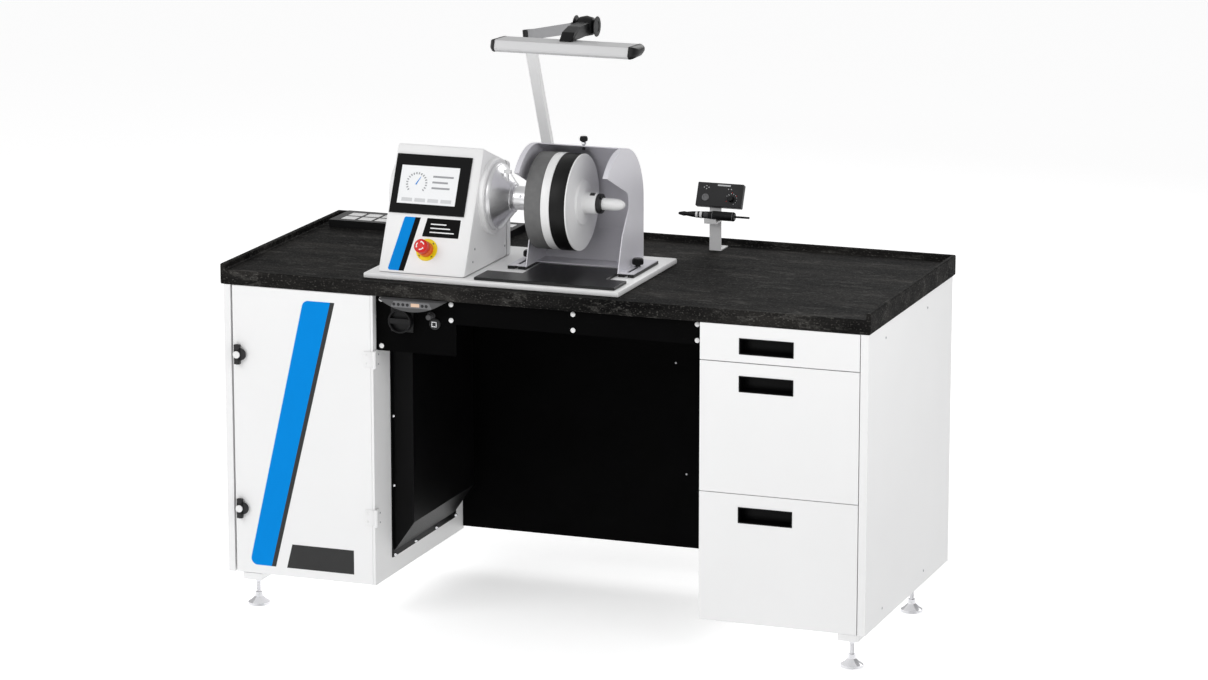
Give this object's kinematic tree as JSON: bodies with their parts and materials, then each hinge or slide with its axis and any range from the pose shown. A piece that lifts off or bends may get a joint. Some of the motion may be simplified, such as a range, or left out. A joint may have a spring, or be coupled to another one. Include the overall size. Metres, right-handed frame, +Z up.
{
  "type": "polishing workstation",
  "caption": "Workshop desk with a motor-driven polishing spindle under a sliding dust hood, arm lamp, parts tray, micromotor handpiece, drawers and a dust cabinet.",
  "frame": {"origin": "on the floor at the middle of the footprint", "axes": "+Z up, +X along the bench to the operator's right, -Y towards the operator"},
  "size_m": [1.8, 0.834, 1.617],
  "materials": {
    "white_coat_board": "smooth white coating on board",
    "white_coat": "fine white powder coat",
    "laminate": "dark slate-look laminate on board",
    "black_board": "satin black coating on board",
    "black_coat": "satin black powder coat",
    "grey_plastic": "moulded, fine grain",
    "cast_aluminium": "cast, fine grain",
    "white_plastic": "smooth",
    "chrome": "bright plated",
    "black_plastic": "moulded, fine grain",
    "screen": "glossy",
    "yellow_plastic": "smooth",
    "red_plastic": "smooth",
    "motor_iron": "machined and painted grey",
    "steel": "ground",
    "polished_aluminium": "turned and polished",
    "grey_wheel": "bonded abrasive",
    "black_wheel": "bonded abrasive",
    "hood_sheet": "satin light grey",
    "rubber": "satin",
    "brushed_aluminium": "satin anodised"
  },
  "bodies": {
    "bench": {"base_plate": "white_coat", "display_pod": "grey_plastic", "door_hinge_lower": "white_plastic", "door_hinge_upper": "white_plastic", "estop_base": "yellow_plastic", "filter_box": "grey_plastic", "filter_cover": "black_coat", "foot_front_left": "chrome", "foot_front_right": "chrome", "foot_rear_left": "chrome", "foot_rear_right": "chrome", "front_apron": "black_board", "front_bearing": "steel", "lamp_bracket": "black_coat", "left_carcass": "white_coat_board", "machine_housing": "white_coat", "micromotor_box": "grey_plastic", "micromotor_stand": "white_coat", "modesty_panel": "black_board", "motor_cap": "white_coat", "motor_stator": "motor_iron", "nose_cone": "polished_aluminium", "parts_tray": "black_plastic", "rear_bearing": "steel", "rear_cover": "white_coat", "right_carcass": "white_coat_board", "suction_blower": "cast_aluminium", "touch_screen": "screen", "work_mat": "rubber", "worktop": "laminate"},
    "spindle": {"spindle_shaft": "steel", "motor_rotor": "steel", "hub_sleeve": "polished_aluminium", "grey_wheel": "grey_wheel", "spacer_wheel": "white_plastic", "black_wheel": "black_wheel", "outer_flange": "white_coat", "lock_nut": "grey_plastic", "taper_tip": "white_plastic"},
    "door": {"left_door": "white_coat_board"},
    "latch_upper": {"door_latch_upper": "black_plastic"},
    "latch_lower": {"door_latch_lower": "black_plastic"},
    "top_drawer": {"drawer_top": "white_coat_board"},
    "middle_drawer": {"drawer_middle": "white_coat_board"},
    "bottom_drawer": {"drawer_bottom": "white_coat_board"},
    "main_switch": {"main_switch_knob": "black_plastic"},
    "start_button": {"push_button": "grey_plastic"},
    "emergency_stop": {"estop_button": "red_plastic"},
    "spindle_lock": {"spindle_lock_knob": "white_plastic"},
    "hood": {"dust_hood": "hood_sheet"},
    "hood_screw": {"hood_top_screw": "black_plastic"},
    "clamp_left": {"hood_clamp_left": "black_plastic"},
    "clamp_right": {"hood_clamp_right": "black_plastic"},
    "lamp_base": {"lamp_swivel": "black_plastic"},
    "lower_arm": {"lamp_lower_arm": "brushed_aluminium"},
    "upper_arm": {"lamp_upper_arm": "brushed_aluminium"},
    "knuckle": {"lamp_knuckle": "black_plastic"},
    "lamp": {"lamp_head": "brushed_aluminium"},
    "speed": {"speed_knob": "black_plastic"},
    "drill_handpiece": {"handpiece": "black_plastic"}
  },
  "joints": [
    {"name": "spindle_spin", "type": "hinge", "parent": "bench", "child": "spindle", "pos_m": [0, -0.135, 1.1205], "axis": [1, 0, 0], "continuous": true},
    {"name": "door_swing", "type": "hinge", "parent": "bench", "child": "door", "pos_m": [-0.456, -0.3965, 0.49], "axis": [0, 0, 1], "range_deg": [0, 110]},
    {"name": "latch_upper_turn", "type": "hinge", "parent": "door", "child": "latch_upper", "pos_m": [-0.85, -0.3923, 0.6985], "axis": [0, -1, 0], "range_deg": [0, 90]},
    {"name": "latch_lower_turn", "type": "hinge", "parent": "door", "child": "latch_lower", "pos_m": [-0.85, -0.3923, 0.2755], "axis": [0, -1, 0], "range_deg": [0, 90]},
    {"name": "top_drawer_slide", "type": "slide", "parent": "bench", "child": "top_drawer", "axis": [0, -1, 0], "range_m": [0, 0.42]},
    {"name": "middle_drawer_slide", "type": "slide", "parent": "bench", "child": "middle_drawer", "axis": [0, -1, 0], "range_m": [0, 0.42]},
    {"name": "bottom_drawer_slide", "type": "slide", "parent": "bench", "child": "bottom_drawer", "axis": [0, -1, 0], "range_m": [0, 0.42]},
    {"name": "main_switch_turn", "type": "hinge", "parent": "bench", "child": "main_switch", "pos_m": [-0.3856, -0.3703, 0.822], "axis": [0, -1, 0], "range_deg": [0, 90]},
    {"name": "start_button_press", "type": "slide", "parent": "bench", "child": "start_button", "axis": [0, 1, 0], "range_m": [0, 0.003], "stiffness_N_per_m": 600, "springref_m": -0.002},
    {"name": "emergency_stop_press", "type": "slide", "parent": "bench", "child": "emergency_stop", "axis": [0, 0.9087, -0.4175], "range_m": [0, 0.004]},
    {"name": "spindle_lock_turn", "type": "hinge", "parent": "bench", "child": "spindle_lock", "pos_m": [-0.172, -0.155, 1.19], "axis": [0, 0, 1], "range_deg": [0, 90]},
    {"name": "hood_slide", "type": "slide", "parent": "bench", "child": "hood", "axis": [0, 1, 0], "range_m": [0, 0.06]},
    {"name": "hood_screw_turn", "type": "hinge", "parent": "hood", "child": "hood_screw", "pos_m": [0.021, -0.1, 1.27], "axis": [0, 0, 1], "range_deg": [0, 360]},
    {"name": "clamp_left_turn", "type": "hinge", "parent": "bench", "child": "clamp_left", "pos_m": [-0.138, -0.09, 0.96], "axis": [0, 0, 1], "range_deg": [0, 360]},
    {"name": "clamp_right_turn", "type": "hinge", "parent": "bench", "child": "clamp_right", "pos_m": [0.169, -0.09, 0.96], "axis": [0, 0, 1], "range_deg": [0, 360]},
    {"name": "lamp_base_turn", "type": "hinge", "parent": "bench", "child": "lamp_base", "pos_m": [-0.2205, 0.352, 0.96], "axis": [0, 0, 1], "range_deg": [-60, 60]},
    {"name": "lower_arm_tilt", "type": "hinge", "parent": "lamp_base", "child": "lower_arm", "pos_m": [-0.2205, 0.352, 1], "axis": [1, 0, 0], "range_deg": [-12, 10]},
    {"name": "elbow_turn", "type": "hinge", "parent": "lower_arm", "child": "upper_arm", "pos_m": [-0.2205, 0.126, 1.512], "axis": [-0.141, 0.1434, 0.9796], "range_deg": [-60, 60]},
    {"name": "knuckle_tilt", "type": "hinge", "parent": "upper_arm", "child": "knuckle", "pos_m": [0.046, -0.145, 1.59], "axis": [1, 0, 0], "range_deg": [-20, 20]},
    {"name": "lamp_turn", "type": "hinge", "parent": "knuckle", "child": "lamp", "pos_m": [0.046, -0.26, 1.57], "axis": [0, 0, 1], "range_deg": [-20, 20]},
    {"name": "speed_turn", "type": "hinge", "parent": "bench", "child": "speed", "pos_m": [0.299, 0.2891, 1.0689], "axis": [0, -0.9135, 0.4067], "range_deg": [0, 270]},
    {"name": "handpiece_lift", "type": "slide", "parent": "bench", "child": "drill_handpiece", "axis": [0, -0.8, 0.6], "range_m": [0, 0.1]}
  ]
}
